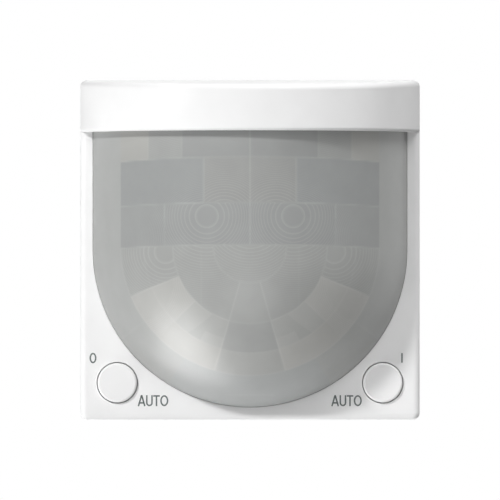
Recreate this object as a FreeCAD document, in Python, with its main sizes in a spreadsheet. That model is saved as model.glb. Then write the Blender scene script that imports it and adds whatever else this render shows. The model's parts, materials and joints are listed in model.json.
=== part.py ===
# Motion detector for a 55 mm wall frame: the plug-on unit with its lens, buttons, board and back.
#
# The unit hangs on a wall. +Z is up, the lens looks along -Y, and the origin is the middle of the
# rear rim of the cover, which seats against the mounting ring in the wall. Sizes are millimetres.
# A "depth" here is measured from that seat towards the room, along -Y.
import FreeCAD, Part
import math
import os
import Sketcher
from types import SimpleNamespace

SIZES = [
    # Cover
    ("cover_side", 55.0, "outer side of the square cover"),
    ("cover_depth", 12.0, "seat to the flat front plane"),
    ("corner_radius", 1.1, "corners of the square, seen from the front"),
    ("edge_radius", 1.0, "rounding of the front edge"),
    ("skirt_wall", 1.2, "wall of the square skirt"),
    ("plate_thickness", 1.4, "front plate"),
    # Hood over the lens
    ("hood_height", 8.38, "top of the cover down to the lip"),
    ("hood_fall", 1.0, "how much lower the hood's top is at its front than at the flat plane"),
    ("hood_roof", 2.0, "top of the cover down to the hood's ceiling"),
    ("hood_edge_radius", 1.0, "rounding of the hood's top front edge"),
    ("lip_radius", 0.5, "rounding of the hood's lower edge"),
    # Lens
    ("lens_border", 2.05, "side of the cover to the rim of the lens"),
    ("lens_bulge", 19.0, "lens in front of the flat plane"),
    ("lens_wall", 1.0, "wall of the lens"),
    ("lens_flange", 1.0, "thickness of the lens's flange"),
    ("lens_headroom", 3.5, "hood's ceiling down to the top edge of the lens"),
    ("rim_clearance", 0.05, "gap between lens and cover"),
    ("skirt_clearance", 0.2, "gap between the skirt and what sits in it"),
    # Carrier that holds the lens against the cover
    ("carrier_thickness", 1.4, "ring of the carrier"),
    ("post_radius", 0.8, "posts between carrier and board"),
    ("post_angle", 25.0, "lower posts from straight down, in degrees"),
    ("post_drop", 4.0, "upper posts below the top edge of the lens"),
    # Buttons
    ("button_inset", 6.0, "sides of the cover to a button's axis"),
    ("button_radius", 3.2, "cap of a button"),
    ("button_clearance", 0.15, "gap round a button"),
    ("button_proud", 0.7, "cap in front of the flat plane"),
    ("button_edge_radius", 0.4, "rounding of the cap"),
    ("button_gap", 0.1, "play between sleeve and collar"),
    ("collar_radius", 3.9, "collar that keeps a button in"),
    ("collar_thickness", 0.8, "collar along the axis"),
    ("stem_radius", 1.5, "stem on the switch"),
    ("stem_length", 0.6, "stem behind the collar"),
    ("sleeve_wall", 0.7, "wall of a guide sleeve"),
    ("sleeve_length", 1.8, "guide sleeve behind the front plate"),
    # Circuit board
    ("board_corner", 2.0, "corners of the board"),
    ("board_thickness", 1.6, "board"),
    ("board_seat", 1.4, "depth of the board's rear face"),
    ("hole_clearance", 0.1, "gap round a lead in the board"),
    # Push switches
    ("switch_side", 6.0, "side of a switch"),
    ("switch_frame", 0.2, "sheet of a switch's frame"),
    ("switch_throat", 0.1, "gap round the plunger"),
    ("plunger_radius", 1.7, "plunger"),
    ("plunger_collar", 0.4, "collar round the plunger's foot"),
    ("plunger_foot", 1.0, "thickness of that collar"),
    ("plunger_proud", 1.0, "plunger in front of the frame"),
    ("switch_travel", 0.5, "travel of button and plunger"),
    ("switch_play", 0.3, "gap under the pressed plunger"),
    ("foot_width", 0.8, "solder feet of a switch"),
    ("foot_reach", 0.9, "solder feet beyond the switch"),
    ("foot_thickness", 0.2, "sheet of the solder feet"),
    # Heat sensors and their holder
    ("sensor_tilt", 45.0, "sensors from straight ahead, in degrees"),
    ("sensor_spread", 5.5, "middle to the foot of a sensor"),
    ("sensor_height", 2.0, "sensors above the middle"),
    ("header_radius", 4.6, "header disc of a sensor"),
    ("header_thickness", 0.6, "header disc"),
    ("header_lift", 0.3, "header above the board"),
    ("can_radius", 4.1, "can of a sensor"),
    ("can_wall", 0.25, "sheet of the can"),
    ("can_height", 4.0, "can in front of the header"),
    ("can_brim", 0.3, "brim of the can"),
    ("window_width", 4.4, "window of the can"),
    ("window_height", 3.4, "window of the can"),
    ("window_lap", 0.4, "filter behind the edge of the window"),
    ("window_thickness", 0.5, "infrared filter"),
    ("carrier_width", 4.2, "ceramic plate under the elements"),
    ("carrier_height", 2.8, "ceramic plate under the elements"),
    ("element_rise", 1.8, "elements in front of the header"),
    ("element_width", 1.0, "each of the two sensing elements"),
    ("element_height", 2.0, "each of the two sensing elements"),
    ("element_thickness", 0.3, "sensing elements"),
    ("element_pitch", 2.0, "element to element"),
    ("lead_circle", 2.54, "leads from the sensor's axis"),
    ("lead_radius", 0.23, "radius of a lead"),
    ("lead_bend", 2.2, "header to the bend of a lead"),
    ("lead_tail", 1.0, "leads behind the board"),
    ("holder_margin", 0.6, "slope of the holder beyond the header"),
    ("holder_length", 12.0, "holder from bottom to top"),
    ("holder_wall", 1.2, "wall of the holder"),
    ("peg_radius", 0.7, "pegs of the holder in the board"),
    # Back shell
    ("shell_side", 46.0, "box behind the seat"),
    ("shell_depth", 7.0, "box behind the seat"),
    ("shell_corner", 3.0, "corners of the box"),
    ("shell_wall", 1.2, "walls of the box"),
    ("shell_floor", 1.4, "floor of the box"),
    ("shell_recess", 0.2, "rim plate in front of the seat"),
    ("catch_width", 6.0, "snap catches on the rim plate"),
    ("catch_height", 0.7, "catches along the depth"),
    ("catch_reach", 0.4, "catches into the skirt"),
    ("catch_clearance", 0.1, "gap round a catch"),
    ("stud_spacing", 38.0, "locating stud to stud, both ways"),
    ("stud_radius", 1.5, "radius of a stud"),
    ("stud_length", 3.0, "studs behind the back"),
    ("stud_chamfer", 0.4, "tips of the studs"),
    # Plug
    ("plug_height", 12.0, "middle of the plug above the middle"),
    ("plug_pitch", 2.54, "pin to pin"),
    ("plug_columns", 5, "number of pins side by side"),
    ("plug_rows", 2, "number of pins one above the other"),
    ("plug_rim", 0.6, "block beyond the outer pins' pitch"),
    ("plug_proud", 0.8, "block behind the back"),
    ("plug_clearance", 0.15, "gap round the block"),
    ("pin_side", 0.64, "square pins"),
    ("pin_reach", 13.0, "pins behind the seat"),
    ("pin_tail", 1.2, "pins in front of the board"),
    ("pin_clearance", 0.02, "gap round a pin in the block"),
    # Adjusters
    ("trimmer_inset", 14.5, "bottom of the cover to the row of adjusters"),
    ("trimmer_pitch", 12.0, "adjuster to adjuster"),
    ("trimmer_side", 6.6, "body of an adjuster"),
    ("trimmer_depth", 3.4, "body of an adjuster"),
    ("spindle_radius", 1.2, "spindle of a dial"),
    ("spindle_depth", 1.4, "spindle in the body"),
    ("spindle_clearance", 0.05, "gap round the spindle"),
    ("dial_radius", 2.4, "dial"),
    ("dial_clearance", 0.2, "gap round a dial in the back"),
    ("dial_lift", 0.8, "body to dial"),
    ("dial_recess", 0.2, "dial below the back's surface"),
    ("slot_width", 0.8, "screwdriver slot"),
    ("slot_depth", 1.0, "screwdriver slot"),
    ("pointer_width", 0.8, "pointer notch of a dial"),
    ("terminal_radius", 0.3, "radius of its leads"),
    ("terminal_pitch", 2.54, "lead to lead of an adjuster"),
    # Parts on the board
    ("chip_side", 7.0, "microcontroller"),
    ("chip_thickness", 1.0, "microcontroller"),
    ("chip_inset", 6.4, "middle of the microcontroller inside the rim of the lens"),
    ("chip_leads", 8, "number of leads on each side of the microcontroller"),
    ("chip_pitch", 0.8, "lead to lead of the microcontroller"),
    ("chip_lead_width", 0.35, "width of those leads"),
    ("chip_lead_reach", 1.0, "those leads beyond the chip"),
    ("chip_lead_thickness", 0.2, "thickness of those leads"),
    ("capacitor_radius", 2.5, "storage capacitors"),
    ("capacitor_height", 4.6, "storage capacitors"),
    ("capacitor_base", 0.8, "their plastic feet"),
    ("capacitor_gap", 4.3, "capacitors to the side walls of the box"),
    ("capacitor_rise", 9.0, "capacitors above the middle"),
    ("regulator_width", 6.5, "voltage regulator"),
    ("regulator_height", 3.5, "voltage regulator"),
    ("regulator_thickness", 1.6, "voltage regulator"),
    ("regulator_gap", 0.55, "voltage regulator to the top wall of the box"),
    ("crystal_length", 8.0, "crystal can"),
    ("crystal_width", 3.2, "crystal can"),
    ("crystal_thickness", 2.4, "crystal can"),
    ("crystal_drop", 2.5, "crystal below the middle"),
    ("light_sensor_side", 2.6, "light sensor"),
    ("light_sensor_thickness", 1.1, "light sensor"),
    ("light_sensor_drop", 4.5, "light sensor below the top edge of the lens"),
    ("led_width", 3.2, "indicator lamp"),
    ("led_height", 2.6, "indicator lamp"),
    ("led_thickness", 1.8, "indicator lamp"),
    ("led_drop", 6.6, "indicator lamp below the middle"),
    ("chip_part_length", 2.0, "chip resistors and capacitors"),
    ("chip_part_width", 1.2, "chip resistors and capacitors"),
    ("resistor_thickness", 0.5, "chip resistors"),
    ("ceramic_thickness", 0.9, "chip capacitors"),
    ("chip_part_pitch", 2.6, "chip part to chip part"),
    ("chip_part_count", 5, "number of chip parts in a row"),
    ("chip_row_spread", 12.0, "middle of the board to the middle of a row"),
    ("chip_row_drop", 5.5, "rows of chip parts below the middle"),
]

MARGIN = 1.0  # how far a cut starts outside the solid
DIAGONAL = math.sqrt(2)  # of a square with sides of one
SIDES = {"left": -1, "right": 1}
LEAD_PLACES = [(1, 0), (0, 1), (0, -1)]  # leads of a sensor: outwards and upwards from its axis
TERMINALS = (-1, 0, 1)  # leads of an adjuster, side by side
TRIMMERS = {"sensitivity": -1, "brightness": 0, "delay": 1}

doc = FreeCAD.newDocument("motion_detector")
sheet = doc.addObject("Spreadsheet::Sheet", "Sizes")
for row, (alias, number, meaning) in enumerate(SIZES, start=1):
    sheet.set(f"A{row}", str(number))
    sheet.setAlias(f"A{row}", alias)
    sheet.set(f"B{row}", meaning)
doc.recompute()


# Sizes that carry their sheet formula


class Size:
    """A number together with the sheet formula that gives it."""

    def __init__(self, value, formula=None):
        self.value = value
        self.formula = formula or str(value)

    def __add__(self, other):
        return joined(self, "+", other, self.value + plain(other))

    def __radd__(self, other):
        return joined(other, "+", self, plain(other) + self.value)

    def __sub__(self, other):
        return joined(self, "-", other, self.value - plain(other))

    def __rsub__(self, other):
        return joined(other, "-", self, plain(other) - self.value)

    def __mul__(self, other):
        return joined(self, "*", other, self.value * plain(other))

    def __rmul__(self, other):
        return joined(other, "*", self, plain(other) * self.value)

    def __truediv__(self, other):
        return joined(self, "/", other, self.value / plain(other))

    def __neg__(self):
        return Size(-self.value, f"(-1 * {self.formula})")


def plain(size):
    """The number of a size, or of a plain number."""
    return size.value if isinstance(size, Size) else size


def formula(size):
    """The sheet formula of a size, or of a plain number."""
    return size.formula if isinstance(size, Size) else str(size)


def joined(first, sign, second, value):
    return Size(value, f"({formula(first)} {sign} {formula(second)})")


def root(size):
    return Size(math.sqrt(size.value), f"sqrt({size.formula})")


def sine(degrees):
    return Size(math.sin(math.radians(degrees.value)), f"sin({degrees.formula} * 1 deg)")


def cosine(degrees):
    return Size(math.cos(math.radians(degrees.value)), f"cos({degrees.formula} * 1 deg)")


def bind(thing, path, size):
    """Sets a property from the sheet, so that it follows the sheet."""
    if isinstance(size, Size):
        thing.setExpression(path, size.formula)


s = SimpleNamespace(**{alias: Size(number, f"Sizes.{alias}") for alias, number, _ in SIZES})
count = SimpleNamespace(**{alias: number for alias, number, _ in SIZES if isinstance(number, int)})

# Places that several pieces share
half_side = s.cover_side / 2
skirt_inside = half_side - s.skirt_wall
plate_rear = s.cover_depth - s.plate_thickness
lens_rim = half_side - s.lens_border
lens_radius = (lens_rim * lens_rim + s.lens_bulge * s.lens_bulge) / (2 * s.lens_bulge)
lens_axis = s.cover_depth - (lens_radius - s.lens_bulge)
opening_half = lens_rim + s.rim_clearance
arc_depth = s.cover_depth - lens_axis
hood_radius = root(half_side * half_side + arc_depth * arc_depth)
hood_bottom = half_side - s.hood_height
hood_front = lens_axis + hood_radius
hood_slope = s.hood_fall / (hood_front - s.cover_depth)
hood_ceiling = half_side - s.hood_roof
lens_top = hood_ceiling - s.lens_headroom
lens_hollow = lens_radius - s.lens_wall
lens_inside = root(lens_hollow * lens_hollow - arc_depth * arc_depth)
fitted_side = skirt_inside - s.skirt_clearance
flange_rear = plate_rear - s.lens_flange
carrier_rear = flange_rear - s.carrier_thickness
button_place = half_side - s.button_inset
sleeve_inside = s.button_radius + s.button_clearance
sleeve_end = plate_rear - s.sleeve_length
collar_front = sleeve_end - s.button_gap
stem_end = collar_front - s.collar_thickness - s.stem_length
board_front = s.board_seat + s.board_thickness
plunger_top = stem_end
frame_top = plunger_top - s.plunger_proud
throat_top = frame_top - s.switch_frame
box_inside = s.shell_side / 2 - s.shell_wall
catch_middle = (s.board_seat + s.shell_recess) / 2
tilt_sine = sine(s.sensor_tilt)
tilt_cosine = cosine(s.sensor_tilt)
sensor_depth = board_front + s.header_lift + s.header_radius * tilt_sine


# Sketches


def new_sketch(body, plane, name, offset=None):
    """A sketch on one of the body's origin planes, moved along the plane's normal."""
    sketch = body.newObject("Sketcher::SketchObject", name)
    support = [f for f in body.Origin.OriginFeatures if f.Role == plane][0]
    sketch.AttachmentSupport = [(support, "")]
    sketch.MapMode = "FlatFace"
    if offset is not None:
        sketch.AttachmentOffset.Base = FreeCAD.Vector(0, 0, plain(offset))
        bind(sketch, "AttachmentOffset.Base.z", offset)
    return sketch


def front_sketch(body, name, depth):
    """A sketch seen from the room: its x is X, its y is Z, and its normal points at the room."""
    return new_sketch(body, "XZ_Plane", name, depth)


def tie(sketch, shape, end, axis, point):
    """Ties the X or the Y of one end of a drawn shape to a point given by sizes."""
    size = point["XY".index(axis)]
    if isinstance(size, Size):
        rule = Sketcher.Constraint(f"Distance{axis}", -1, 1, shape, end, size.value)
        bind(sketch, f"Constraints[{sketch.addConstraint(rule)}]", size)
    else:
        sketch.addConstraint(Sketcher.Constraint("PointOnObject", shape, end, {"X": -2, "Y": -1}[axis]))


def place_point(sketch, shape, end, point):
    tie(sketch, shape, end, "X", point)
    tie(sketch, shape, end, "Y", point)


def flat(point):
    return FreeCAD.Vector(plain(point[0]), plain(point[1]), 0)


def draw_arc(sketch, here, there, centre, hollow):
    """An arc between two corners, which stays drawn about its centre when a size changes."""
    middle = flat(centre)
    first, last = (there, here) if hollow else (here, there)
    angles = [math.atan2(*reversed((flat(corner) - middle)[:2])) for corner in (first, last)]
    if angles[1] <= angles[0]:
        angles[1] += 2 * math.pi
    radius = (flat(here) - middle).Length
    whole = Part.Circle(middle, FreeCAD.Vector(0, 0, 1), radius)
    shape = sketch.addGeometry(Part.ArcOfCircle(whole, *angles))
    chord = flat(there) - flat(here)
    tie(sketch, shape, 3, "Y" if abs(chord.x) >= abs(chord.y) else "X", centre)
    return shape


def outline(sketch, corners, arcs=None, hollows=None):
    """Draws a closed outline, anticlockwise. arcs and hollows give the centres of its round
    sides, by the number of the corner where each starts: arcs bulge out and hollows in."""
    arcs = arcs or {}
    hollows = hollows or {}
    ends = []
    for number, here in enumerate(corners):
        there = corners[(number + 1) % len(corners)]
        if number in arcs:
            ends.append((draw_arc(sketch, here, there, arcs[number], False), 1, 2))
        elif number in hollows:
            ends.append((draw_arc(sketch, here, there, hollows[number], True), 2, 1))
        else:
            ends.append((sketch.addGeometry(Part.LineSegment(flat(here), flat(there))), 1, 2))
    for number, corner in enumerate(corners):
        shape, start, _ = ends[number]
        before, _, end = ends[number - 1]
        sketch.addConstraint(Sketcher.Constraint("Coincident", before, end, shape, start))
        place_point(sketch, shape, start, corner)


def rectangle(sketch, left, right, bottom, top):
    outline(sketch, [(left, bottom), (right, bottom), (right, top), (left, top)])


def square(sketch, half):
    rectangle(sketch, -half, half, -half, half)


def circle(sketch, x, z, radius):
    shape = sketch.addGeometry(Part.Circle(flat((x, z)), FreeCAD.Vector(0, 0, 1), plain(radius)))
    index = sketch.addConstraint(Sketcher.Constraint("Radius", shape, plain(radius)))
    bind(sketch, f"Constraints[{index}]", radius)
    place_point(sketch, shape, 3, (x, z))


def lens_shape(sketch, half, top):
    """The outline of the lens from the front: half a circle below, a rectangle above."""
    corners = [(half, 0), (half, top), (-half, top), (-half, 0)]
    outline(sketch, corners, {3: (0, 0)})


def rounded_square(sketch, half, radius):
    end = half - radius
    corners = [(half, -end), (half, end), (end, half), (-end, half)]
    corners += [(-half, end), (-half, -end), (-end, -half), (end, -half)]
    outline(sketch, corners, {1: (end, end), 3: (-end, end), 5: (-end, -end), 7: (end, -end)})


# Features of a body


def new_body(name):
    body = doc.addObject("PartDesign::Body", name)
    body.Label = name
    return body


def feature(body, kind, name, sketch, length, reverse):
    made = body.newObject(f"PartDesign::{kind}", name)
    made.Profile = sketch
    made.Reversed = reverse
    made.Length = plain(length)
    bind(made, "Length", length)
    sketch.Visibility = False
    doc.recompute()
    return made


def pad(body, name, sketch, length, reverse=False):
    """Adds material along the sketch's normal, which is towards the room for a front sketch."""
    return feature(body, "Pad", name, sketch, length, reverse)


def pocket(body, name, sketch, length, reverse=False):
    """Cuts against the sketch's normal, which is towards the wall for a front sketch."""
    return feature(body, "Pocket", name, sketch, length, reverse)


def dress(body, kind, name, size, wanted):
    """Rounds or bevels the edges of the body whose middle passes the test."""
    base = body.Tip
    edges = base.Shape.Edges
    names = [
        f"Edge{number}"
        for number, edge in enumerate(edges, start=1)
        if wanted(edge.valueAt((edge.FirstParameter + edge.LastParameter) / 2))
    ]
    made = body.newObject(f"PartDesign::{kind}", name)
    made.Base = (base, names)
    path = "Radius" if kind == "Fillet" else "Size"
    setattr(made, path, plain(size))
    bind(made, path, size)
    doc.recompute()
    return made


def near(value, size):
    return abs(value - plain(size)) < 1e-3


# Simple solids for the small pieces. Each runs forward from a depth.


def put(thing, x=0, depth=0, z=0):
    thing.Placement.Base = FreeCAD.Vector(plain(x), -plain(depth), plain(z))
    for path, size in (("x", x), ("y", -1 * depth), ("z", z)):
        bind(thing, f"Placement.Base.{path}", size)
    return thing


def block(name, width, height, length, x=0, depth=0, z=0):
    """A box, centred on x and z, from a depth forward."""
    box = doc.addObject("Part::Box", name)
    for path, size in (("Length", width), ("Width", length), ("Height", height)):
        setattr(box, path, plain(size))
        bind(box, path, size)
    return put(box, x - width / 2, depth + length, z - height / 2)


def rod(name, radius, length, x=0, depth=0, z=0):
    """A round bar from a depth forward."""
    bar = doc.addObject("Part::Cylinder", name)
    for path, size in (("Radius", radius), ("Height", length)):
        setattr(bar, path, plain(size))
        bind(bar, path, size)
    bar.Placement.Rotation = FreeCAD.Rotation(FreeCAD.Vector(1, 0, 0), 90)
    return put(bar, x, depth, z)


def ball(name, radius, x, depth, z):
    sphere = doc.addObject("Part::Sphere", name)
    sphere.Radius = plain(radius)
    bind(sphere, "Radius", radius)
    return put(sphere, x, depth, z)


def cut(name, base, *tools):
    """base without the tools."""
    made = doc.addObject("Part::Cut", name)
    made.Base = base
    made.Tool = tools[0] if len(tools) == 1 else group(f"{name}_tools", *tools)
    made.Label = name
    return made


def fuse(name, *pieces):
    made = doc.addObject("Part::MultiFuse", name)
    made.Shapes = list(pieces)
    made.Refine = True
    made.Label = name
    return made


def group(name, *pieces):
    """Separate solids under one name."""
    made = doc.addObject("Part::Compound", name)
    made.Links = list(pieces)
    made.Label = name
    return made


# Cover


def catch_shapes(sketch, inner, outer, half_width):
    """One rectangle at the middle of each side of the square."""
    rectangle(sketch, inner, outer, -half_width, half_width)
    rectangle(sketch, -outer, -inner, -half_width, half_width)
    rectangle(sketch, -half_width, half_width, inner, outer)
    rectangle(sketch, -half_width, half_width, -outer, -inner)


def front_cover():
    """The square cover with its hood, the opening for the lens and the guides for the buttons."""
    body = new_body("front_cover")
    blank = front_sketch(body, "cover_outline", 0)
    rounded_square(blank, half_side, s.corner_radius)
    pad(body, "cover_blank", blank, s.cover_depth)
    dress(body, "Fillet", "front_edge", s.edge_radius,
          lambda middle: near(-middle.y, s.cover_depth))
    joint = body.newObject("PartDesign::Boolean", "with_hood")
    joint.Type = "Fuse"
    joint.setObjects([hood()])
    doc.recompute()

    inside = front_sketch(body, "skirt_inside", plate_rear)
    square(inside, skirt_inside)
    pocket(body, "hollow", inside, plate_rear)
    opening = front_sketch(body, "lens_opening", s.cover_depth)
    lens_shape(opening, opening_half, hood_ceiling)
    pocket(body, "opening", opening, s.plate_thickness)
    cavity = new_sketch(body, "XY_Plane", "hood_inside", hood_ceiling)
    outline(cavity, [(-opening_half, -s.cover_depth), (opening_half, -s.cover_depth)], {0: (0, -lens_axis)})
    pocket(body, "cavity", cavity, hood_ceiling - hood_bottom)

    sleeves = front_sketch(body, "sleeve_outlines", plate_rear)
    holes = front_sketch(body, "button_holes", s.cover_depth)
    for side in SIDES.values():
        circle(sleeves, side * button_place, -button_place, sleeve_inside + s.sleeve_wall)
        circle(holes, side * button_place, -button_place, sleeve_inside)
    pad(body, "sleeves", sleeves, s.sleeve_length, reverse=True)
    pocket(body, "holes", holes, s.cover_depth - sleeve_end)

    catches = front_sketch(body, "catch_outlines", catch_middle + s.catch_height / 2 + s.catch_clearance)
    catch_shapes(catches, fitted_side, skirt_inside + s.catch_reach + s.catch_clearance,
                 s.catch_width / 2 + s.catch_clearance)
    pocket(body, "catch_pockets", catches, s.catch_height + 2 * s.catch_clearance)
    return body


def hood():
    """The hood over the lens: a curved front, a sloping top and the outline of the cover."""
    body = new_body("hood")
    section = new_sketch(body, "XY_Plane", "hood_section", hood_bottom)
    back = plate_rear - lens_axis
    half_width = root(hood_radius * hood_radius - back * back)
    outline(section, [(-half_width, -plate_rear), (half_width, -plate_rear)], {0: (0, -lens_axis)})
    pad(body, "hood_blank", section, s.hood_height + MARGIN)

    profile = new_sketch(body, "YZ_Plane", "hood_profile", half_width + MARGIN)
    back_top = half_side + hood_slope * (s.cover_depth - plate_rear + MARGIN)
    front_top = half_side - hood_slope * (hood_front + MARGIN - s.cover_depth)
    outline(profile, [
        (-(hood_front + MARGIN), front_top),
        (-(plate_rear - MARGIN), back_top),
        (-(plate_rear - MARGIN), half_side + 2 * MARGIN),
        (-(hood_front + MARGIN), half_side + 2 * MARGIN),
    ])
    pocket(body, "hood_top", profile, 2 * (half_width + MARGIN))
    dress(body, "Fillet", "hood_edge", s.hood_edge_radius,
          lambda middle: near(-middle.y, hood_front) and not near(middle.z, hood_bottom))
    dress(body, "Fillet", "hood_lip", s.lip_radius,
          lambda middle: near(-middle.y, hood_front) and near(middle.z, hood_bottom))

    trim = front_sketch(body, "hood_outline", hood_front + MARGIN)
    square(trim, hood_radius + MARGIN)
    rounded_square(trim, half_side, s.corner_radius)
    pocket(body, "corner_trim", trim, hood_front + MARGIN)
    return body


# Lens and carrier


def lens():
    """A thin shell: half a barrel above the middle, half a dome below it, with a flange behind."""
    body = new_body("lens")
    section = new_sketch(body, "XY_Plane", "lens_section")
    lens_front = s.cover_depth + s.lens_bulge
    corners = [
        (0, -lens_front),
        (lens_rim, -s.cover_depth),
        (lens_rim, -plate_rear),
        (fitted_side, -plate_rear),
        (fitted_side, -flange_rear),
        (lens_inside, -flange_rear),
        (lens_inside, -s.cover_depth),
        (0, -(lens_front - s.lens_wall)),
    ]
    centre = (0, -lens_axis)
    outline(section, corners, {0: centre}, {6: centre})
    half = pad(body, "barrel_half", section, lens_top)
    mirrored = body.newObject("PartDesign::Mirrored", "barrel")
    mirrored.Originals = [half]
    mirrored.MirrorPlane = ([f for f in body.Origin.OriginFeatures if f.Role == "YZ_Plane"][0], [""])
    body.Tip = mirrored
    doc.recompute()
    dome = body.newObject("PartDesign::Revolution", "dome")
    dome.Profile = section
    dome.ReferenceAxis = (section, ["V_Axis"])
    dome.Angle = 180
    doc.recompute()
    return body


def lens_carrier():
    """Presses the lens's flange against the cover, and stands on the board with four posts."""
    body = new_body("lens_carrier")
    bar_bottom = lens_top + s.rim_clearance
    ring = front_sketch(body, "ring_outline", carrier_rear)
    lens_shape(ring, fitted_side, fitted_side)
    lens_shape(ring, lens_inside, bar_bottom)
    pad(body, "ring", ring, s.carrier_thickness)
    bar = front_sketch(body, "bar_outline", carrier_rear)
    rectangle(bar, -fitted_side, fitted_side, bar_bottom, fitted_side)
    pad(body, "bar", bar, plate_rear - carrier_rear)
    posts = front_sketch(body, "post_outlines", carrier_rear)
    ring_middle = (fitted_side + lens_inside) / 2
    for side in SIDES.values():
        circle(posts, side * ring_middle, lens_top - s.post_drop, s.post_radius)
        circle(posts, side * (ring_middle * sine(s.post_angle)), -(ring_middle * cosine(s.post_angle)),
               s.post_radius)
    pad(body, "posts", posts, carrier_rear - board_front, reverse=True)
    return body


# Buttons and their switches


def button(side_name):
    """A round key with a collar behind the guide sleeve and a stem that rests on the switch."""
    body = new_body(f"{side_name}_button")
    cap = front_sketch(body, "cap_outline", collar_front)
    circle(cap, 0, 0, s.button_radius)
    pad(body, "cap", cap, s.cover_depth + s.button_proud - collar_front)
    dress(body, "Fillet", "cap_edge", s.button_edge_radius,
          lambda middle: near(-middle.y, s.cover_depth + s.button_proud))
    collar = front_sketch(body, "collar_outline", collar_front)
    circle(collar, 0, 0, s.collar_radius)
    pad(body, "collar", collar, s.collar_thickness, reverse=True)
    stem = front_sketch(body, "stem_outline", collar_front - s.collar_thickness)
    circle(stem, 0, 0, s.stem_radius)
    pad(body, "stem", stem, s.stem_length, reverse=True)
    return put(body, SIDES[side_name] * button_place, 0, -button_place)


def switch(side_name):
    """The push switch behind a button: base, sheet frame, plunger and solder feet."""
    x = SIDES[side_name] * button_place
    z = -button_place
    name = f"{side_name}_switch"
    base_width = s.switch_side - 2 * s.switch_frame
    base_height = throat_top - board_front
    chamber = s.plunger_radius + s.plunger_collar + s.switch_throat
    chamber_floor = throat_top - s.plunger_foot - s.switch_travel - s.switch_play
    base = cut(
        f"{name}_base",
        block(f"{name}_block", base_width, s.switch_side, base_height, x, board_front, z),
        rod(f"{name}_chamber", chamber, base_height, x, chamber_floor, z),
    )
    frame = cut(
        f"{name}_frame",
        block(f"{name}_sheet", s.switch_side, s.switch_side, base_height / 2 + s.switch_frame,
              x, throat_top - base_height / 2, z),
        block(f"{name}_inside", base_width, s.switch_side, base_height, x, board_front, z),
        rod(f"{name}_throat", s.plunger_radius + s.switch_throat, s.plunger_proud, x, throat_top, z),
    )
    plunger = fuse(
        f"{name}_plunger",
        rod(f"{name}_pin", s.plunger_radius, plunger_top - throat_top, x, throat_top, z),
        rod(f"{name}_foot", s.plunger_radius + s.plunger_collar, s.plunger_foot,
            x, throat_top - s.plunger_foot, z),
    )
    feet = []
    for across in (-1, 1):
        for up in (-1, 1):
            feet.append(block(
                f"{name}_foot_{len(feet)}", s.foot_reach, s.foot_width, s.foot_thickness,
                x + across * (s.switch_side + s.foot_reach) / 2, board_front,
                z + up * (s.switch_side - s.foot_width) / 2,
            ))
    return [base, frame, plunger, group(f"{name}_feet", *feet)]


# Heat sensors


def stand(thing, side):
    """Moves a piece, drawn on a sensor that looks straight ahead, to the slope of the holder."""
    thing.Placement.Rotation = FreeCAD.Rotation(FreeCAD.Vector(0, 0, side), s.sensor_tilt.value)
    bind(thing, "Placement.Rotation.Angle", s.sensor_tilt)
    return put(thing, side * s.sensor_spread, sensor_depth, s.sensor_height)


def lead_bend_place(side, out, along):
    """Where a sensor's lead turns towards the board."""
    x = s.sensor_spread + out * s.lead_circle * tilt_cosine - s.lead_bend * tilt_sine
    depth = sensor_depth - out * s.lead_circle * tilt_sine - s.lead_bend * tilt_cosine
    return side * x, depth, s.sensor_height + along * s.lead_circle


def sensor_leads(name, side):
    """Three wires, bent from the sensor's direction to the board's."""
    wires = []
    tail = s.board_seat - s.lead_tail
    for out, along in LEAD_PLACES:
        wire = f"{name}_lead_{len(wires)}"
        slope = rod(f"{wire}_slope", s.lead_radius, s.lead_bend,
                    side * out * s.lead_circle, -s.lead_bend, along * s.lead_circle)
        x, depth, z = lead_bend_place(side, out, along)
        wires.append(fuse(
            wire,
            stand(group(f"{wire}_leaning", slope), side),
            ball(f"{wire}_bend", s.lead_radius, x, depth, z),
            rod(f"{wire}_straight", s.lead_radius, depth - tail, x, tail, z),
        ))
    return group(f"{name}_leads", *wires)


def sensor(side_name):
    """One heat sensor: header, can with its window and filter, ceramic plate and two elements."""
    side = SIDES[side_name]
    name = f"{side_name}_sensor"
    can_front = s.header_thickness + s.can_height
    filter_front = can_front - s.can_wall
    header = group(f"{name}_header", rod(f"{name}_disc", s.header_radius, s.header_thickness))
    can = cut(
        f"{name}_can",
        fuse(
            f"{name}_can_blank",
            rod(f"{name}_can_outside", s.can_radius, s.can_height, 0, s.header_thickness),
            rod(f"{name}_can_brim", s.header_radius, s.can_brim, 0, s.header_thickness),
        ),
        rod(f"{name}_can_inside", s.can_radius - s.can_wall, s.can_height - s.can_wall,
            0, s.header_thickness),
        block(f"{name}_can_window", s.window_width, s.window_height, s.can_height, 0, filter_front),
    )
    pane = group(f"{name}_filter", block(
        f"{name}_pane", s.window_width + 2 * s.window_lap, s.window_height + 2 * s.window_lap,
        s.window_thickness, 0, filter_front - s.window_thickness,
    ))
    carrier = group(f"{name}_carrier", block(
        f"{name}_plate", s.carrier_width, s.carrier_height, s.element_rise, 0, s.header_thickness,
    ))
    elements = group(f"{name}_elements", *[
        block(f"{name}_element_{which}", s.element_width, s.element_height, s.element_thickness,
              which * s.element_pitch / 2, s.header_thickness + s.element_rise)
        for which in (-1, 1)
    ])
    level = [header, can, pane, carrier, elements]
    return [stand(piece, side) for piece in level] + [sensor_leads(name, side)]


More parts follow.
